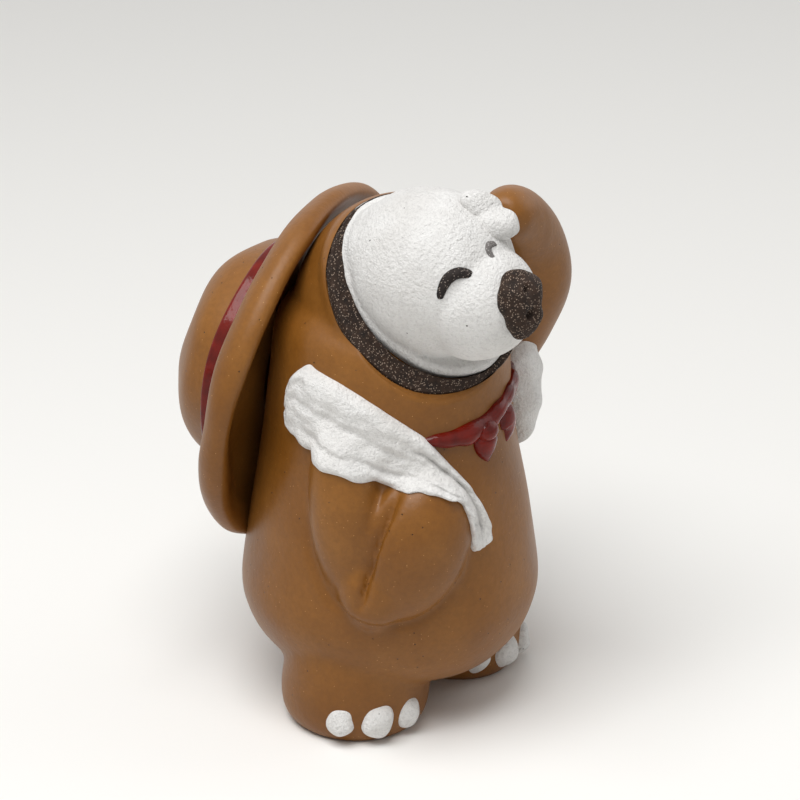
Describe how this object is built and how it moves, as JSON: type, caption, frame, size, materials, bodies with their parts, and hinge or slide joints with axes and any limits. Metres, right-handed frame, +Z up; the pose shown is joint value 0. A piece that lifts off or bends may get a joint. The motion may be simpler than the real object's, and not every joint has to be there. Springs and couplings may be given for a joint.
{
  "type": "clay tea pet",
  "caption": "Small fired-clay animal for a tea tray, standing on two short feet, hat slung on its back, one arm raised to its brow.",
  "frame": {"origin": "on the floor, under the middle of the pet's box", "axes": "+Z up; the pet's belly faces -Y and its left is +X"},
  "size_m": [0.0504, 0.0608, 0.0796],
  "materials": {
    "ochre_clay": "satin unglazed clay with fine sand",
    "white_slip": "matt granular slip",
    "dark_sand_clay": "matt sandy clay",
    "red_slip": "glossy coloured slip"
  },
  "bodies": {
    "root": {"body_shell": "ochre_clay", "leg_right": "ochre_clay", "leg_left": "ochre_clay", "toe_right_inner": "white_slip", "toe_right_middle": "white_slip", "toe_right_outer": "white_slip", "toe_left_inner": "white_slip", "toe_left_middle": "white_slip", "toe_left_outer": "white_slip", "arm_right": "ochre_clay", "arm_band_right": "white_slip", "arm_left": "ochre_clay", "arm_band_left": "white_slip", "paw_left": "white_slip", "face_rim": "dark_sand_clay", "face_mask": "white_slip", "nose": "dark_sand_clay", "eye_right": "dark_sand_clay", "eye_left": "dark_sand_clay", "hat_brim": "ochre_clay", "hat_crown": "ochre_clay", "hat_ribbon": "red_slip", "neckerchief_band": "red_slip", "neckerchief_knot": "red_slip", "neckerchief_tail_right": "red_slip", "neckerchief_tail_left": "red_slip"}
  },
  "joints": []
}
